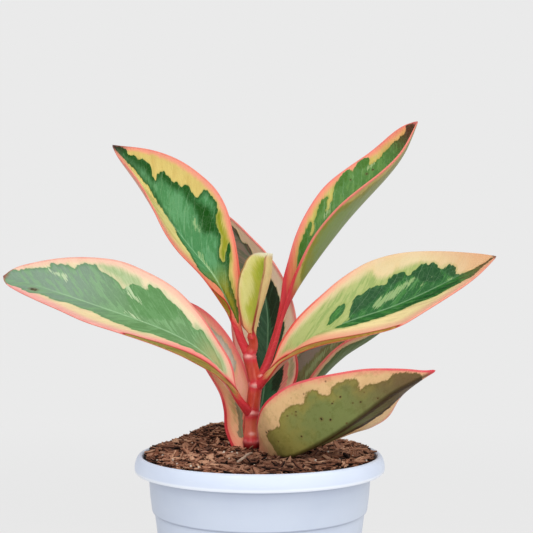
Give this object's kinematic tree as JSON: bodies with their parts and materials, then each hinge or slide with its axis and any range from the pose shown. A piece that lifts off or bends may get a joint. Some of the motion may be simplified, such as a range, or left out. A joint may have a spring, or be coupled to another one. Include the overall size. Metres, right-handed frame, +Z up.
{
  "type": "potted peperomia plant",
  "caption": "Small houseplant in a plain round plastic nursery pot: a short red stem in bark mix carries long cupped variegated leaves on short stalks.",
  "frame": {"origin": "centre of the pot's flat base, on the surface that it stands on", "axes": "+Z up; -Y is the side that faced the camera in the picture, with the low leaf towards -Y and +X"},
  "size_m": [0.1954, 0.1, 0.2267],
  "materials": {
    "pot_plastic": "pale bluish white, satin",
    "bark_mix": "rough brown bark chips with a few white grains",
    "stem_red": "smooth fleshy red",
    "leaf_blade": "glossy green centre, cream band and pink edge",
    "young_blade": "yellow-green and cream"
  },
  "bodies": {
    "root": {"pot": "pot_plastic", "soil": "bark_mix", "stem": "stem_red", "leaf_upper_left": "leaf_blade", "leaf_upper_right": "leaf_blade", "leaf_right": "leaf_blade", "leaf_left": "leaf_blade", "leaf_low_right": "leaf_blade", "leaf_back": "leaf_blade", "leaf_back_left": "leaf_blade", "leaf_back_right": "leaf_blade", "leaf_young": "young_blade"}
  },
  "joints": []
}
